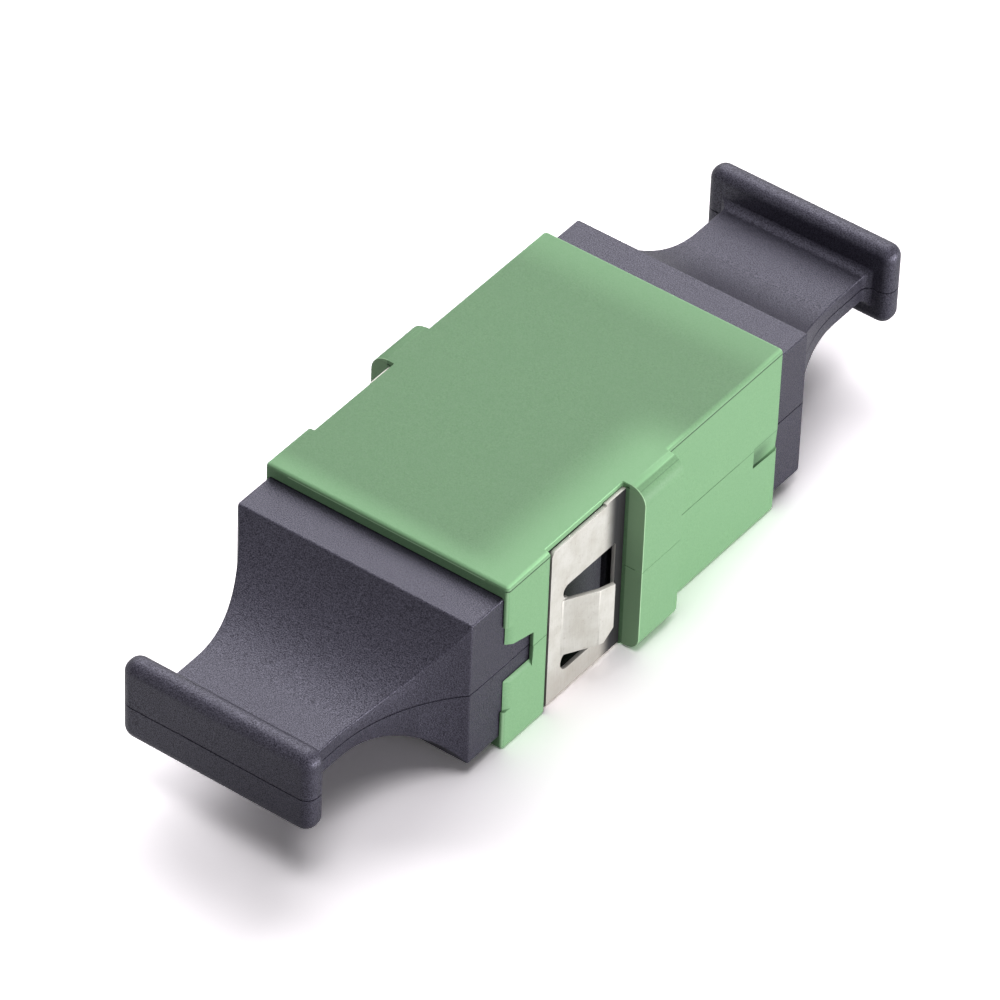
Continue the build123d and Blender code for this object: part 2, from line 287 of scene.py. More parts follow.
def soften_edges(
    piece: bpy.types.Object,
    width_mm: float,
    angle: float = 35,
    tight: tuple[tuple[float, ...], ...] = (),
) -> None:
    """Rounds every edge sharper than an angle, but not those that end in a tight corner.

    Args:
        piece: The mesh object.
        width_mm: Width of the rounding in millimetres.
        angle: The smallest angle, in degrees, that counts as an edge.
        tight: Corners where edges run out against each other: X of both sides, Y, Z and radius, in
            millimetres.
    """
    def is_sharp(edge: bmesh.types.BMEdge) -> bool:
        """Says whether an edge is sharp and clear of every tight corner.

        Args:
            edge: An edge of the piece.

        Returns:
            Whether it is rounded.
        """
        if edge.calc_face_angle(0) < math.radians(angle):
            return False
        places = [Vector((abs(p.x), p.y, p.z)) for p in ends(edge)]
        return all((p - Vector(corner[:3])).length > corner[3] for p in places for corner in tight)

    with editing(piece):
        pick(piece, Element.EDGE, is_sharp)
        bpy.ops.mesh.bevel(offset=width_mm * MM, segments=2, affect="EDGES", miter_outer="ARC")


def shade(piece: bpy.types.Object, angle: float = 40) -> None:
    """Shades a piece smooth, keeping edges sharper than an angle and flat faces flat.

    Args:
        piece: The mesh object.
        angle: The angle in degrees.
    """
    choose(piece)
    bpy.ops.object.shade_smooth_by_angle(angle=math.radians(angle))
    apply_modifier(piece, "WEIGHTED_NORMAL", {"keep_sharp": True, "weight": 60})


def dress(piece: bpy.types.Object, material: bpy.types.Material, slot: Slot, body: Body, *nodes: str) -> None:
    """Gives a piece its material and body, and hides the CAD nodes it stands for.

    Args:
        piece: The mesh object.
        material: Its material.
        slot: The record's slot for that finish; not used.
        body: The body it moves with.
        nodes: CAD nodes that it replaces.
    """
    piece.data.materials.clear()
    piece.data.materials.append(material)
    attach(piece, body.value)
    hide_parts(*nodes)
    LOG.info("%s: %d faces, rides on %s", piece.name, len(piece.data.polygons), body.value)


@dataclass(frozen=True)
class Tone:
    """A soft-edged box of another tone on a material.

    Each span is its start, its end and the width of its soft edge, in millimetres of the object. The tone
    lies on both sides of the object, unless it has one side.
    """

    colour: str
    strength: float
    x: tuple[float, float, float] | None = None
    y: tuple[float, float, float] | None = None
    z: tuple[float, float, float] | None = None
    one_side: bool = False

    def over(
        self, tree: bpy.types.NodeTree, place: bpy.types.NodeSocket, colour: bpy.types.NodeSocket,
    ) -> bpy.types.NodeSocket:
        """Lays the tone over a colour.

        Args:
            tree: The material's node tree.
            place: The object coordinates.
            colour: The colour socket below.

        Returns:
            The mixed colour.
        """
        axes = add_node(tree, "ShaderNodeSeparateXYZ", inputs={"Vector": place}).outputs
        across = axes["X"]
        if not self.one_side:
            across = add_node(tree, "ShaderNodeMath", {"operation": "ABSOLUTE"}, {0: across}).outputs[0]
        mask: Any = self.strength
        for value, span in ((across, self.x), (axes["Y"], self.y), (axes["Z"], self.z)):
            if span is None:
                continue
            low, high, soft = (number * MM for number in span)
            for start, end in ((low - soft, low), (high + soft, high)):
                edge = add_node(tree, "ShaderNodeMapRange", {"interpolation_type": "SMOOTHSTEP"}, {
                    "Value": value, "From Min": start, "From Max": end, **FULL_RANGE,
                }).outputs["Result"]
                mask = add_node(tree, "ShaderNodeMath", {"operation": "MULTIPLY"}, {
                    0: edge, 1: mask,
                }).outputs[0]
        return add_node(tree, "ShaderNodeMix", {"data_type": "RGBA"}, {
            "Factor": mask, 6: colour, 7: hex_colour(self.colour),
        }).outputs[2]


@dataclass(frozen=True)
class MouldedPlastic:
    """Injection-moulded plastic with a spark-eroded grain, which gives the eye a satin sheen.

    The sparks leave craters a few hundredths of a millimetre wide, too fine to show, so the grain is drawn
    coarser, at 0.08 to 0.09 mm. Clouds 1 to 2 mm across even it out in places.
    """

    name: str
    colour: str
    grain_dark: str
    grain_light: str
    grain_mm: float
    grain_depth_mm: float
    cloud_mm: float
    roughness: float
    roughness_spread: float
    specular: float
    specular_spread: float
    sheen_tint: str
    tones: tuple[Tone, ...] = ()
    cloud_share: float = 0.55
    sparkle_fineness: float = 1.7
    ior: float = 1.5

    def material(self) -> bpy.types.Material:
        """Makes the material.

        Returns:
            The new material.
        """
        material, tree = new_material(self.name)
        place = add_node(tree, "ShaderNodeTexCoord").outputs["Object"]
        grain = add_node(tree, "ShaderNodeTexNoise", inputs={
            "Vector": place, "Scale": 1 / (self.grain_mm * MM), "Detail": 3.0, "Roughness": 0.6,
        }).outputs["Fac"]
        cloud = add_node(tree, "ShaderNodeTexNoise", inputs={
            "Vector": place, "Scale": 1 / (self.cloud_mm * MM), "Detail": 2.0, "Roughness": 0.5,
        }).outputs["Fac"]
        spread = add_node(tree, "ShaderNodeMapRange", inputs={
            "Value": grain, **NOISE_SPAN, **FULL_RANGE,
        }).outputs["Result"]
        speckle = add_node(tree, "ShaderNodeMix", {"data_type": "RGBA"}, {
            "Factor": spread, 6: hex_colour(self.grain_dark), 7: hex_colour(self.grain_light),
        }).outputs[2]
        soft = add_node(tree, "ShaderNodeMapRange", inputs={
            "Value": cloud, **NARROW_SPAN, "To Min": 0.0, "To Max": self.cloud_share,
        }).outputs["Result"]
        colour = add_node(tree, "ShaderNodeMix", {"data_type": "RGBA"}, {
            "Factor": soft, 6: speckle, 7: hex_colour(self.colour),
        }).outputs[2]
        for tone in self.tones:
            colour = tone.over(tree, place, colour)
        polish = add_node(tree, "ShaderNodeMapRange", inputs={
            "Value": grain, **NOISE_SPAN,
            "To Min": self.roughness - self.roughness_spread,
            "To Max": self.roughness + self.roughness_spread,
        }).outputs["Result"]
        fine = add_node(tree, "ShaderNodeTexNoise", inputs={
            "Vector": place, "Scale": self.sparkle_fineness / (self.grain_mm * MM),
            "Detail": 1.0, "Roughness": 0.5,
        }).outputs["Fac"]
        sparkle = add_node(tree, "ShaderNodeMapRange", inputs={
            "Value": fine, **NARROW_SPAN,
            "To Min": self.specular - self.specular_spread,
            "To Max": self.specular + self.specular_spread,
        }).outputs["Result"]
        bump = add_node(tree, "ShaderNodeBump", inputs={
            "Strength": 1.0, "Distance": self.grain_depth_mm * MM, "Height": grain,
        }).outputs["Normal"]
        shader = add_node(tree, "ShaderNodeBsdfPrincipled", inputs={
            "Base Color": colour, "Roughness": polish, "Normal": bump, "IOR": self.ior,
            "Specular IOR Level": sparkle, "Specular Tint": hex_colour(self.sheen_tint),
        })
        add_node(tree, "ShaderNodeOutputMaterial", inputs={"Surface": shader.outputs["BSDF"]})
        return material


@dataclass(frozen=True)
class RolledSteel:
    """Bright rolled stainless strip, as springs are cut from, with fine rolling lines and a satin gloss.

    Rolling leaves lines of a few hundredths of a millimetre. They are drawn 0.05 mm wide, and run up the
    sides. Dull clouds nearly 1 mm across and specks of 0.12 mm break up the gloss.
    """

    name: str = "rolled_stainless_strip"
    bright: str = "BCBAB6"
    dull: str = "B0ADA7"
    # Colour of the painted reflection of the flange
    flange_reflection: str = "3C3B3D"
    # Painted shade, darker towards the foot of the sides
    low: Tone = Tone("9C9690", 0.6, z=(-1.0, 0.6, 2.6))
    line_mm: float = 0.05
    line_stretch: float = 0.06
    line_depth_mm: float = 0.0006
    cloud_mm: float = 0.9
    cloud_span: tuple[float, float] = (0.35, 0.7)
    speck: str = "7C7367"
    speck_mm: float = 0.12
    speck_span: tuple[float, float] = (0.56, 0.72)
    speck_strength: float = 0.28
    roughness: float = 0.68
    roughness_spread: float = 0.06
    # Where the painted reflection of the flange runs, in millimetres on the near side of the middle
    reflection_start_mm: float = 3.0
    reflection_end_mm: float = 2.1
    outward_span: tuple[float, float] = (0.8, 0.95)

    def material(self) -> bpy.types.Material:
        """Makes the material.

        Returns:
            The new material.
        """
        material, tree = new_material(self.name)
        place = add_node(tree, "ShaderNodeTexCoord").outputs["Object"]
        drawn = add_node(tree, "ShaderNodeMapping", inputs={
            "Vector": place, "Scale": (1.0, 1.0, self.line_stretch),
        }).outputs["Vector"]
        lines = add_node(tree, "ShaderNodeTexNoise", inputs={
            "Vector": drawn, "Scale": 1 / (self.line_mm * MM), "Detail": 3.0, "Roughness": 0.6,
        }).outputs["Fac"]
        # The dark band beside the flange is a painted reflection
        colour = self.paint_flange_reflection(tree, place, self.base_colour(tree, place))
        polish = add_node(tree, "ShaderNodeMapRange", inputs={
            "Value": lines, **NOISE_SPAN,
            "To Min": self.roughness - self.roughness_spread,
            "To Max": self.roughness + self.roughness_spread,
        }).outputs["Result"]
        bump = add_node(tree, "ShaderNodeBump", inputs={
            "Strength": 1.0, "Distance": self.line_depth_mm * MM, "Height": lines,
        }).outputs["Normal"]
        shader = add_node(tree, "ShaderNodeBsdfPrincipled", inputs={
            "Base Color": colour, "Metallic": 1.0, "Roughness": polish, "Normal": bump,
        })
        add_node(tree, "ShaderNodeOutputMaterial", inputs={"Surface": shader.outputs["BSDF"]})
        return material

    def base_colour(self, tree: bpy.types.NodeTree, place: bpy.types.NodeSocket) -> bpy.types.NodeSocket:
        """Mixes the bright and dull clouds, the few specks and the painted shade at the foot of the sides.

        Args:
            tree: The material's node tree.
            place: The object coordinates.

        Returns:
            The colour.
        """
        cloud = add_node(tree, "ShaderNodeTexNoise", inputs={
            "Vector": place, "Scale": 1 / (self.cloud_mm * MM), "Detail": 3.0, "Roughness": 0.55,
        }).outputs["Fac"]
        dull = add_node(tree, "ShaderNodeMapRange", inputs={
            "Value": cloud, "From Min": self.cloud_span[0], "From Max": self.cloud_span[1], **FULL_RANGE,
        }).outputs["Result"]
        colour = add_node(tree, "ShaderNodeMix", {"data_type": "RGBA"}, {
            "Factor": dull, 6: hex_colour(self.bright), 7: hex_colour(self.dull),
        }).outputs[2]
        specks = add_node(tree, "ShaderNodeTexNoise", inputs={
            "Vector": place, "Scale": 1 / (self.speck_mm * MM), "Detail": 4.0, "Roughness": 0.7,
        }).outputs["Fac"]
        few = add_node(tree, "ShaderNodeMapRange", inputs={
            "Value": specks, "From Min": self.speck_span[0], "From Max": self.speck_span[1],
            "To Min": 0.0, "To Max": self.speck_strength,
        }).outputs["Result"]
        colour = add_node(tree, "ShaderNodeMix", {"data_type": "RGBA"}, {
            "Factor": few, 6: colour, 7: hex_colour(self.speck),
        }).outputs[2]
        # Lays the painted shade over the foot of the sides
        return self.low.over(tree, place, colour)

    def paint_flange_reflection(
        self, tree: bpy.types.NodeTree, place: bpy.types.NodeSocket, colour: bpy.types.NodeSocket,
    ) -> bpy.types.NodeSocket:
        """Paints the dark reflection of the flange on the outward faces beside it.

        Args:
            tree: The material's node tree.
            place: The object coordinates.
            colour: The colour so far.

        Returns:
            The colour with the dark band.
        """
        along = add_node(tree, "ShaderNodeSeparateXYZ", inputs={"Vector": place}).outputs["Y"]
        beside = add_node(tree, "ShaderNodeMapRange", {"interpolation_type": "SMOOTHSTEP"}, {
            "Value": along, "From Min": -self.reflection_start_mm * MM, "From Max": -self.reflection_end_mm * MM,
            **FULL_RANGE,
        }).outputs["Result"]
        facing = add_node(tree, "ShaderNodeTexCoord").outputs["Normal"]
        across = add_node(tree, "ShaderNodeSeparateXYZ", inputs={"Vector": facing}).outputs["X"]
        across = add_node(tree, "ShaderNodeMath", {"operation": "ABSOLUTE"}, {0: across}).outputs[0]
        outward = add_node(tree, "ShaderNodeMapRange", inputs={
            "Value": across, "From Min": self.outward_span[0], "From Max": self.outward_span[1], **FULL_RANGE,
        }).outputs["Result"]
        band = add_node(tree, "ShaderNodeMath", {"operation": "MULTIPLY"}, {0: beside, 1: outward}).outputs[0]
        return add_node(tree, "ShaderNodeMix", {"data_type": "RGBA"}, {
            "Factor": band, 6: colour, 7: hex_colour(self.flange_reflection),
        }).outputs[2]


@dataclass(frozen=True)
class Housing:
    """The two welded shells of the housing, with softened edges that leave a fine line between them."""

    edge_width: float = 0.035
    split_height: float = 4.65
    wall: float = 6.5
    long_edge: float = 4.0
    split_cuts: int = 5
    tight_corners: tuple[tuple[float, ...], ...] = (
        (6.47, 8.16, 4.65, 0.1),
        (6.43, 10.01, 4.65, 0.08),
        (7.15, 1.42, 9.0, 0.4),
        (6.4, 1.42, 9.3, 0.2),
        (6.48, 1.42, 0.13, 0.12),
        (6.5, 1.0, 0.12, 0.15),
    )

    def build(self, material: bpy.types.Material) -> None:
        """Makes both shells.

        Args:
            material: The green moulded plastic.
        """
        for node, name in (("housing_top", "upper_shell"), ("housing_bottom", "lower_shell")):
            shell = merged_copy(node, name)
            with editing(shell):
                # A long edge that runs into a tight corner would stay sharp all along, so it is divided
                pick(shell, Element.EDGE, self.is_long_parting_edge)
                bpy.ops.mesh.subdivide(number_cuts=self.split_cuts)
            soften_edges(shell, self.edge_width, tight=self.tight_corners)
            shade(shell)
            dress(shell, material, Slot.GREEN, Body.HOUSING, node)

    def is_long_parting_edge(self, edge: bmesh.types.BMEdge) -> bool:
        """Says whether an edge is a long stretch of the parting line."""
        return edge.calc_length() > self.long_edge * MM and all(
            abs(p.z - self.split_height) < NEAR and abs(abs(p.x) - self.wall) < NEAR for p in ends(edge))


@dataclass(frozen=True)
class LatchInserts:
    """The two black latch inserts, seen through the slots of the clip."""

    edge_width: float = 0.04

    def build(self, material: bpy.types.Material) -> None:
        """Makes both inserts.

        Args:
            material: The black moulded plastic.
        """
        for node in ("latch_insert_near", "latch_insert_far"):
            insert = merged_copy(node, node + "_moulding")
            soften_edges(insert, self.edge_width)
            shade(insert)
            dress(insert, material, Slot.BLACK, Body.HOUSING, node)


@dataclass(frozen=True)
class SpringClip:
    """The folded steel clip with its two lanced tongues."""

    edge_width: float = 0.018

    def build(self, material: bpy.types.Material) -> None:
        """Makes the clip.

        Args:
            material: The rolled steel strip.
        """
        clip = merged_copy("spring_clip", "folded_clip")
        soften_edges(clip, self.edge_width)
        shade(clip)
        dress(clip, material, Slot.STEEL, Body.HOUSING, "spring_clip")


@dataclass(frozen=True)
class DustCap:
    """One-piece dust cap, in millimetres along its pull: plug, block, concave neck and grip bar.

    The line that the mould leaves round it wavers by a few hundredths of a millimetre.
    """

    block_face: float = 12.22
    plug_step: float = 7.71
    plug_tip_half_width: float = 5.4
    plug_tip_half_height: float = 3.3
    core_half_width: float = 4.2
    core_half_height: float = 2.2
    core_depth: float = 1.6
    neck_half_width: float = 3.84
    neck_half_height: float = 0.72
    neck_straight_plan: float = 1.85
    neck_straight_side: float = 2.4
    flare: float = 0.45
    grip_thickness: float = 1.2
    grip_half_width: float = 5.07
    grip_half_height: float = 2.13
    grip_rise: float = 0.2
    grip_corner: float = 0.62
    grip_front: float = 0.56
    grip_back: float = 0.5
    edge: float = 0.07
    line_half_height: float = 0.035
    line_depth: float = 0.1
    line_waves: int = 9
    line_waver: float = 0.03
    line_seed: int = 4
    long_edge: float = 4.0
    neck_steps: int = 26
    flare_steps: int = 6

    def build(self, material: bpy.types.Material) -> None:
        """Makes the near cap, and the far cap as a turned copy.

        Args:
            material: The charcoal moulded plastic.
        """
        near = self.model("near_dust_cap")
        far = near.copy()
        far.data = near.data.copy()
        far.name = "far_dust_cap"
        bpy.context.scene.collection.objects.link(far)
        far.data.transform(Matrix.Rotation(math.pi, 4, "Z"))
        dress(near, material, Slot.CHARCOAL, Body.NEAR_CAP, "cap_near")
        dress(far, material, Slot.CHARCOAL, Body.FAR_CAP, "cap_far")

    def sweep(self, distance: float, run: float, neck: float, block: float) -> float:
        """Gives the neck's half size on its round sweep from the block down to the straight neck.

        Args:
            distance: Distance from the face of the block.
            run: Length of the sweep.
            neck: Half size of the straight neck.
            block: Half size of the block.

        Returns:
            The half size there.
        """
        if distance >= run:
            return neck
        drop = block - neck
        radius = (run * run + drop * drop) / (2 * drop)
        return neck + radius - math.sqrt(radius * radius - (run - distance) ** 2)

    def model(self, name: str) -> bpy.types.Object:
        """Models one cap at the near mouth, pulling towards -Y.

        Args:
            name: The piece's name.

        Returns:
            The finished piece.
        """
        low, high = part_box("cap_near")
        mid = (low.z + high.z) / 2
        block = (high.x / MM, (high.z - mid) / MM)
        plug_tip = -high.y / MM
        # The wavering line stays inside the cap's box
        grip_front = -low.y / MM - self.line_waver
        grip_back = grip_front - self.grip_thickness
        cap = self.bar(name, block, self.plug_step, self.block_face, mid)
        with editing(cap):
            neck = self.sweep_neck(cap, block, grip_back, mid)
            self.flare_out(neck, grip_back, mid)
            self.step_plug(cap, block, plug_tip, mid)
        grip_mid = mid + self.grip_rise * MM
        grip_half = (self.grip_half_width, self.grip_half_height)
        grip = self.bar("grip_bar", grip_half, grip_back, grip_front, grip_mid)
        with editing(grip):
            self.round_grip(grip, grip_back, grip_front)
        apply_modifier(cap, "BOOLEAN", {"operation": "UNION", "solver": "EXACT", "object": grip})
        bpy.data.objects.remove(grip)
        fix_order(cap)
        with editing(cap):
            self.score_line(cap, mid)
        shade(cap, angle=50)
        return cap

    def bar(
        self, name: str, half: tuple[float, float], start: float, end: float, mid: float,
    ) -> bpy.types.Object:
        """Adds a plain bar across the pull, to be modelled further.

        Args:
            name: The bar's name.
            half: Its half width and half height.
            start: Distance of its inner face from the middle of the coupler.
            end: Distance of its outer face.
            mid: Height of its middle, in metres.

        Returns:
            The bar.
        """
        bpy.ops.object.select_all(action="DESELECT")
        bpy.ops.mesh.primitive_cube_add(
            size=1,
            location=(0, -(start + end) / 2 * MM, mid),
            scale=(2 * half[0] * MM, (end - start) * MM, 2 * half[1] * MM),
        )
        bpy.ops.object.transform_apply(location=True, rotation=False, scale=True)
        bpy.context.active_object.name = name
        return bpy.context.active_object

    def sweep_neck(
        self, cap: bpy.types.Object, block: tuple[float, float], grip_back: float, mid: float,
    ) -> tuple[float, float]:
        """Draws the concave neck out of the block's face, and rounds the ridges of both.

        Args:
            cap: The cap in edit mode.
            block: Half width and half height of the block.
            grip_back: Distance of the grip's back face.
            mid: Height of the cap's middle, in metres.

        Returns:
            Half width and half height of the neck, whose end face is left selected.
        """
        size = block
        reached = self.block_face
        length = grip_back - self.flare - self.block_face
        run_plan = length - self.neck_straight_plan
        run_side = length - self.neck_straight_side
        pick(cap, Element.FACE, lambda face: face.normal.y < -SQUARE)
        for step in range(1, self.neck_steps + 2):
            away = run_plan * step / self.neck_steps if step <= self.neck_steps else length
            wide = self.sweep(away, run_plan, self.neck_half_width, block[0])
            high = self.sweep(away, run_side, self.neck_half_height, block[1])
            size = self.grow(size, (wide, high), reached, self.block_face + away, mid)
            reached = self.block_face + away

        def is_ridge(edge: bmesh.types.BMEdge) -> bool:
            """Says whether an edge runs along the pull, or up the side of the block's face.

            Args:
                edge: An edge of the cap.

            Returns:
                Whether it is rounded.
            """
            first, second = ends(edge)
            along = abs(first.y - second.y) > CLOSE
            up_side = all(
                abs(p.y + self.block_face) < CLOSE and abs(p.x) > block[0] - NEAR for p in (first, second))
            return (along or up_side) and max(first.y, second.y) < NEAR - self.plug_step

        pick(cap, Element.EDGE, is_ridge)
        bpy.ops.mesh.bevel(offset=self.edge * MM, segments=3, affect="EDGES")
        pick(cap, Element.FACE, lambda face: face.normal.y < -SQUARE and middle(face).y < -reached + NEAR)
        return size

    def flare_out(self, size: tuple[float, float], grip_back: float, mid: float) -> None:
        """Flares the selected end of the neck into the grip, and sinks it into the bar.

        Args:
            size: Half width and half height of the neck.
            grip_back: Distance of the grip's back face.
            mid: Height of the cap's middle, in metres.
        """
        neck = size
        reached = grip_back - self.flare
        for step in range(1, self.flare_steps):
            turn = math.pi / 2 * step / self.flare_steps
            wider = self.flare * (1 - math.cos(turn))
            away = grip_back - self.flare + self.flare * math.sin(turn)
            size = self.grow(size, (neck[0] + wider, neck[1] + wider), reached, away, mid)
            reached = away
        self.grow(size, size, reached, grip_back + self.grip_thickness / 3, mid)

    def step_plug(
        self, cap: bpy.types.Object, block: tuple[float, float], plug_tip: float, mid: float,
    ) -> None:
        """Steps the plug out of the block's back, and hollows its tip.

        Args:
            cap: The cap in edit mode.
            block: Half width and half height of the block.
            plug_tip: Distance of the plug's tip.
            mid: Height of the cap's middle, in metres.
        """
        tip = (self.plug_tip_half_width, self.plug_tip_half_height)
        core = (self.core_half_width, self.core_half_height)
        pick(cap, Element.FACE, lambda face: (
            face.normal.y > SQUARE and middle(face).y > -self.plug_step - NEAR))
        self.grow(block, tip, self.plug_step, self.plug_step, mid)
        self.grow(tip, tip, self.plug_step, plug_tip, mid)
        self.grow(tip, core, plug_tip, plug_tip, mid)
        self.grow(core, core, plug_tip, plug_tip + self.core_depth, mid)

        def is_plug_side(edge: bmesh.types.BMEdge) -> bool:
            """Says whether an edge lies on a side of the plug, but not where it joins the block.

            Args:
                edge: An edge of the cap.

            Returns:
                Whether it is rounded.
            """
            places = ends(edge)
            on_side = all(abs(abs(p.x) - tip[0]) < NEAR and -p.y < self.plug_step + NEAR for p in places)
            return on_side and not all(abs(p.y + self.plug_step) < NEAR for p in places)

        pick(cap, Element.EDGE, is_plug_side)
        bpy.ops.mesh.bevel(offset=2 * self.edge * MM, segments=3, affect="EDGES")

    def grow(
        self, size: tuple[float, float], new_size: tuple[float, float], start: float, end: float, mid: float,
    ) -> tuple[float, float]:
        """Extrudes the selected end face along Y and resizes it.

        Args:
            size: Half width and half height of the face.
            new_size: The same after the step.
            start: Where the face is, as a distance from the middle of the coupler.
            end: Where it goes.
            mid: Height of the cap's middle, in metres.

        Returns:
            The new size.
        """
        bpy.ops.mesh.extrude_region_move(TRANSFORM_OT_translate={"value": (0, (start - end) * MM, 0)})
        bpy.ops.transform.resize(
            value=(new_size[0] / size[0], 1, new_size[1] / size[1]),
            center_override=(0, -end * MM, mid),
        )
        return new_size

    def round_grip(self, grip: bpy.types.Object, back: float, front: float) -> None:
        """Rounds the corners, the front rim and the back rim of the grip bar.

        Args:
            grip: The bar in edit mode.
            back: Distance of its back face.
            front: Distance of its front face.
        """
        pick(grip, Element.EDGE, lambda edge: (
            abs(ends(edge)[0].y - ends(edge)[1].y) > self.grip_thickness / 2))
        bpy.ops.mesh.bevel(offset=self.grip_corner * MM, segments=8, affect="EDGES")
        pick(grip, Element.EDGE, lambda edge: all(abs(p.y + front) < CLOSE for p in ends(edge)))
        bpy.ops.mesh.bevel(offset=self.grip_front * MM, segments=7, affect="EDGES")
        pick(grip, Element.EDGE, lambda edge: all(abs(p.y + back) < CLOSE for p in ends(edge)))
        bpy.ops.mesh.bevel(offset=self.grip_back * MM, segments=6, affect="EDGES")

    def score_line(self, cap: bpy.types.Object, mid: float) -> None:
        """Scores the line where the two halves of the mould met, round the cap at mid height.

        Args:
            cap: The cap in edit mode.
            mid: Height of the cap's middle, in metres.
        """
        def on_line(edge: bmesh.types.BMEdge, waver: float = 0.0) -> bool:
            """Says whether an edge lies on the line, give or take a waver, outside the mouth."""
            return all(
                abs(p.z - mid / MM) < waver + EXACT and -p.y > self.plug_step - NEAR for p in ends(edge))

        bpy.ops.mesh.select_all(action="SELECT")
        bpy.ops.mesh.bisect(plane_co=(0, 0, mid), plane_no=(0, 0, 1), use_fill=False)
        pick(cap, Element.EDGE, lambda edge: on_line(edge) and edge.calc_length() > self.long_edge * MM)
        bpy.ops.mesh.subdivide(number_cuts=self.line_waves)
        bpy.ops.transform.vertex_random(
            offset=self.line_waver * MM, uniform=0, normal=0, seed=self.line_seed)
        pick(cap, Element.EDGE, lambda edge: on_line(edge, self.line_waver))
        bpy.ops.mesh.bevel(offset=self.line_half_height * MM, segments=2, affect="EDGES")
        bpy.ops.mesh.select_mode(type="FACE")
        # Only the middle row has selected faces all round, and it alone sinks in
        pick(cap, Element.EDGE, lambda edge: all(
            face.select for vert in edge.verts for face in vert.link_faces))
        bpy.ops.transform.shrink_fatten(value=-self.line_depth * MM)


def turn_inwards(azimuth: float, elevation: float, roll: float = 0.0) -> Matrix:
    """Turns a camera or lamp so that it looks inwards from two angles around the object.

    Args:
        azimuth: Angle round the object, in degrees from -Y towards +X.
        elevation: Angle above the floor, in degrees.
        roll: Turn about the line of sight, in degrees.

    Returns:
        The turn, with no move.
    """
    return (
        Matrix.Rotation(math.radians(azimuth), 4, "Z")
        @ Matrix.Rotation(math.radians(90 - elevation), 4, "X")
        @ Matrix.Rotation(math.radians(roll), 4, "Z")
    )


@dataclass(frozen=True)
class PhotoCamera:
    """The camera at the photograph's viewing angle, fitted to the corners of the object.

    Angles are in degrees, and the distance, the target and the lens are in millimetres.
    """

    azimuth: float = 35.3239
    elevation: float = 41.3453
    roll: float = 2.2704
    distance: float = 354.8
    target: tuple[float, float, float] = (-1.9127, 0.9449, 2.1329)
    lens: float = 290.881
    sensor: float = 36.0
    nearest: float = 0.01
    farthest: float = 10.0

    def build(self) -> None:
        """Makes the camera and sets it as the scene's."""
        data = bpy.data.cameras.new("photo_camera")
        data.lens = self.lens
        data.sensor_width = self.sensor
        data.clip_start = self.nearest
        data.clip_end = self.farthest
        camera = bpy.data.objects.new("photo_camera", data)
        bpy.context.scene.collection.objects.link(camera)
        turn = turn_inwards(self.azimuth, self.elevation, self.roll)
        back = turn.to_3x3() @ Vector((0, 0, 1))
        camera.matrix_world = Matrix.Translation(Vector(self.target) * MM + back * self.distance * MM) @ turn
        bpy.context.scene.camera = camera


@dataclass(frozen=True)
class Softbox:
    """One rectangular studio lamp, placed by angles around the object, in degrees and metres."""

    name: str
    azimuth: float
    elevation: float
    distance: float
    width: float
    height: float
    radiance: float

    def build(self) -> None:
        """Makes the lamp, facing the middle of the object."""
        data = bpy.data.lights.new(self.name, "AREA")
        data.shape = "RECTANGLE"
        data.size = self.width
        data.size_y = self.height
        data.energy = self.radiance * math.pi * self.width * self.height
        lamp = bpy.data.objects.new(self.name, data)
        bpy.context.scene.collection.objects.link(lamp)
        turn = turn_inwards(self.azimuth, self.elevation)
        back = turn.to_3x3() @ Vector((0, 0, 1))
        lamp.matrix_world = Matrix.Translation(back * self.distance) @ turn


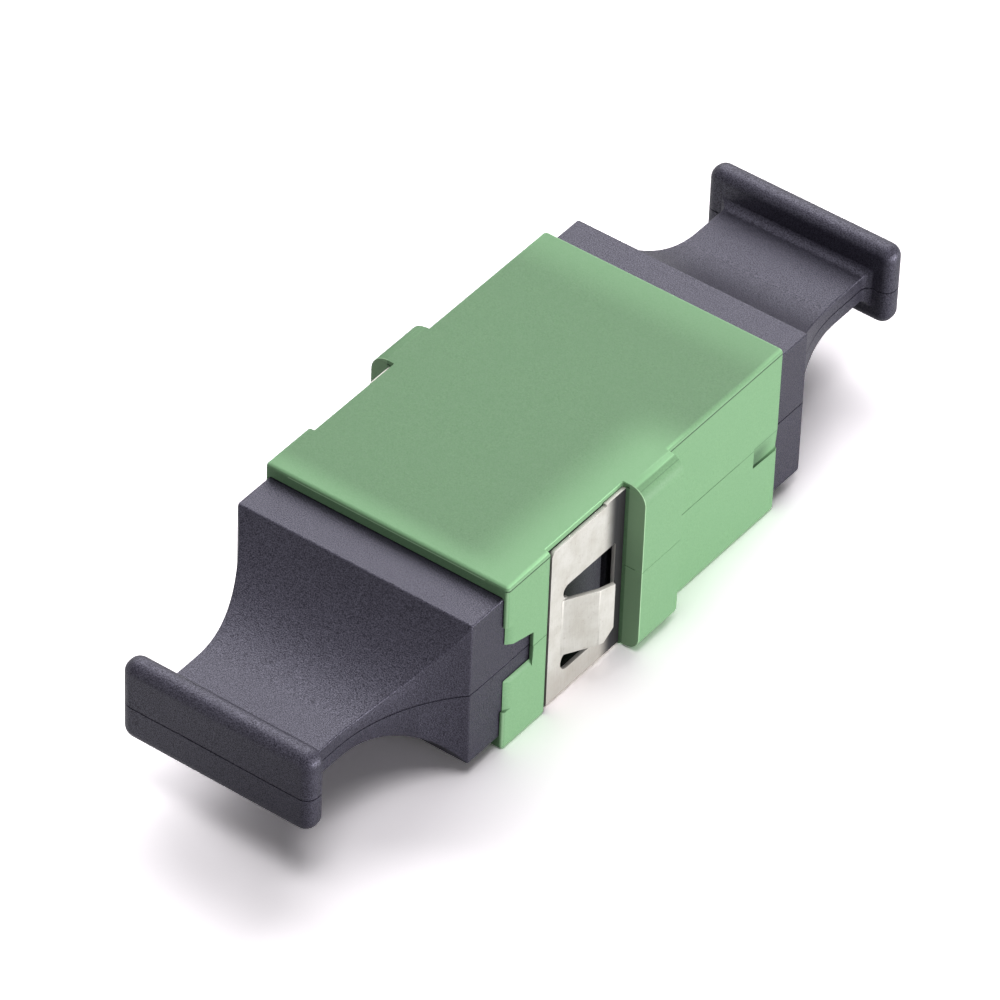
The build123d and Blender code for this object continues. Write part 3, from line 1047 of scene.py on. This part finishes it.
@dataclass(frozen=True)
class Studio:
    """White floor, pale surround and softboxes, at a plain level.

    The floor has a grey tone that lights the object, a paler one that metal and gloss show, and one that the
    camera sees, which comes out white but for the object's shadow.
    """

    floor_size: float = 3.0
    floor_tone: float = 0.4
    floor_seen: tuple[float, float, float] = (1.72, 1.65, 1.71)
    floor_mirrored: float = 0.9
    surround: float = 0.1

    def build(self) -> None:
        """Makes the floor, the world and the lamps."""
        self.floor()
        self.world()
        # The low strip lights the right wall, the softbox behind gives the tops their sheen, and the fill
        # lights the whole from above
        for lamp in (
            Softbox("low_strip_right", 101, 1, 0.6, 0.6, 0.03, 117.0),
            Softbox("softbox_behind", 216, 46, 0.6, 0.6, 0.42, 4.1),
            Softbox("overhead_fill", 35, 80, 0.7, 0.35, 0.35, 3.8),
        ):
            lamp.build()

    def floor(self) -> None:
        """Makes the floor, which camera, mirror and glass rays see brighter than it lights the object."""
        bpy.ops.object.select_all(action="DESELECT")
        bpy.ops.mesh.primitive_grid_add(x_subdivisions=8, y_subdivisions=8, size=self.floor_size)
        floor = bpy.context.active_object
        floor.name = "studio_floor"
        material, tree = new_material("matt_white_paper_sweep")
        mirrored = add_node(tree, "ShaderNodeMix", {"data_type": "RGBA"}, {
            "Factor": mirrored_rays(tree),
            6: (self.floor_tone,) * 3 + (1.0,),
            7: (self.floor_mirrored,) * 3 + (1.0,),
        }).outputs[2]
        seen = add_node(tree, "ShaderNodeLightPath").outputs["Is Camera Ray"]
        tone = add_node(tree, "ShaderNodeMix", {"data_type": "RGBA"}, {
            "Factor": seen, 6: mirrored, 7: self.floor_seen + (1.0,),
        }).outputs[2]
        paper = add_node(tree, "ShaderNodeBsdfDiffuse", inputs={"Color": tone})
        add_node(tree, "ShaderNodeOutputMaterial", inputs={"Surface": paper.outputs["BSDF"]})
        floor.data.materials.append(material)

    def world(self) -> None:
        """Makes the pale surround, which camera, mirror and glass rays see as white."""
        world = bpy.data.worlds.new("pale_surround")
        bpy.context.scene.world = world
        world.use_nodes = True
        tree = world.node_tree
        tree.nodes.clear()
        seen = add_node(tree, "ShaderNodeLightPath").outputs["Is Camera Ray"]
        shown = add_node(tree, "ShaderNodeMath", {"operation": "MAXIMUM"}, {
            0: seen, 1: mirrored_rays(tree),
        }).outputs[0]
        strength = add_node(tree, "ShaderNodeMapRange", inputs={
            "Value": shown, "From Min": 0.0, "From Max": 1.0,
            "To Min": self.surround, "To Max": 1.0,
        }).outputs["Result"]
        glow = add_node(tree, "ShaderNodeBackground", inputs={
            "Color": hex_colour("FFFFFF"), "Strength": strength,
        })
        add_node(tree, "ShaderNodeOutputWorld", inputs={"Surface": glow.outputs["Background"]})


def green_polyester() -> bpy.types.Material:
    """Makes the housing's moulded polyester, whose very fine grain looks nearly matt.

    Returns:
        The new material.
    """
    top = (9.25, 10.0, 0.04)
    near_end = -12.0
    far_end = 12.0
    return MouldedPlastic(
        name="green_moulded_polyester", colour="759B75", grain_dark="6F956F", grain_light="7CA27B",
        grain_mm=0.09, grain_depth_mm=0.004, cloud_mm=1.5, roughness=0.5, roughness_spread=0.05,
        specular=0.16, specular_spread=0.08, sheen_tint="FFFFFF", tones=(
            # Painted light on the top, paler at its margins on the right, at the near end and at the far end
            Tone("94C594", 1.0, x=(6.2, 9.0, 3.0), y=(near_end, 0.5, 3.5), z=top, one_side=True),
            Tone("94C594", 0.65, y=(near_end, -9.9, 1.4), z=top),
            Tone("94C594", 0.5, y=(9.7, far_end, 2.5), z=top),
            # Painted highlight on the far edge of the top, and the dark line under its long edges
            Tone("B4DAB0", 0.8, y=(9.98, far_end, 0.04), z=(9.16, 10.0, 0.04)),
            Tone("1F2E21", 0.85, x=(6.4, 7.0, 0.1), z=(9.06, 9.1, 0.025)),
            # Painted highlight on the lip above the near mouth
            Tone("B4DAB0", 0.8, x=(-1.0, 5.2, 0.1), y=(near_end, -9.99, 0.02), z=(9.13, 9.15, 0.02)),
            # Painted shade in the gap round the clip, in its seat
            Tone("1A241D", 1.0, x=(-1.0, 9.0, 0.1), y=(-7.09, -1.45, 0.02), z=(-1.0, 8.97, 0.03)),
            # Shade in the blind notch at the far mouth
            Tone("48624A", 0.8, x=(-1.0, 6.48, 0.02), y=(8.1, 8.5, 1.4), z=(3.5, 4.1, 0.8)),
            # Painted highlights on the front of the flange and on the near corners of the walls
            Tone("A5CBA1", 0.8, x=(6.55, 9.0, 0.05), y=(-1.45, -1.38, 0.02)),
            Tone("A9D0A5", 0.4, x=(6.42, 7.0, 0.04), y=(near_end, -9.98, 0.03), z=(-1.0, 9.0, 0.1)),
            # Parting line of the two shells
            Tone("4A6E4C", 0.75, x=(6.45, 7.0, 0.02), z=(4.635, 4.665, 0.018)),
        ),
    ).material()


def charcoal_polypropylene() -> bpy.types.Material:
    """Makes the dust caps' moulded polypropylene, whose deeper grain sparkles in grazing light.

    Returns:
        The new material.
    """
    return MouldedPlastic(
        name="charcoal_moulded_polypropylene", colour="1F1D26", grain_dark="131118", grain_light="2F2D38",
        grain_mm=0.08, grain_depth_mm=0.024, cloud_mm=2.0, roughness=0.44, roughness_spread=0.1,
        specular=0.62, specular_spread=0.4, sheen_tint="E8E4FF",
    ).material()


def black_nylon() -> bpy.types.Material:
    """Makes the latch inserts' moulded nylon, a little glossier than the other two plastics.

    Returns:
        The new material.
    """
    return MouldedPlastic(
        name="black_moulded_nylon", colour="2C2C31", grain_dark="222227", grain_light="3A3A41",
        grain_mm=0.09, grain_depth_mm=0.02, cloud_mm=1.2, roughness=0.38, roughness_spread=0.08,
        specular=0.6, specular_spread=0.2, sheen_tint="F4F4FF",
    ).material()


def main() -> None:
    """Builds the object and its studio in order."""
    logging.basicConfig(level=logging.INFO)
    Housing().build(green_polyester())
    LatchInserts().build(black_nylon())
    SpringClip().build(RolledSteel().material())
    DustCap().build(charcoal_polypropylene())
    PhotoCamera().build()
    Studio().build()
    bpy.context.scene.view_settings.view_transform = "Standard"


if __name__ == "__main__":
    main()
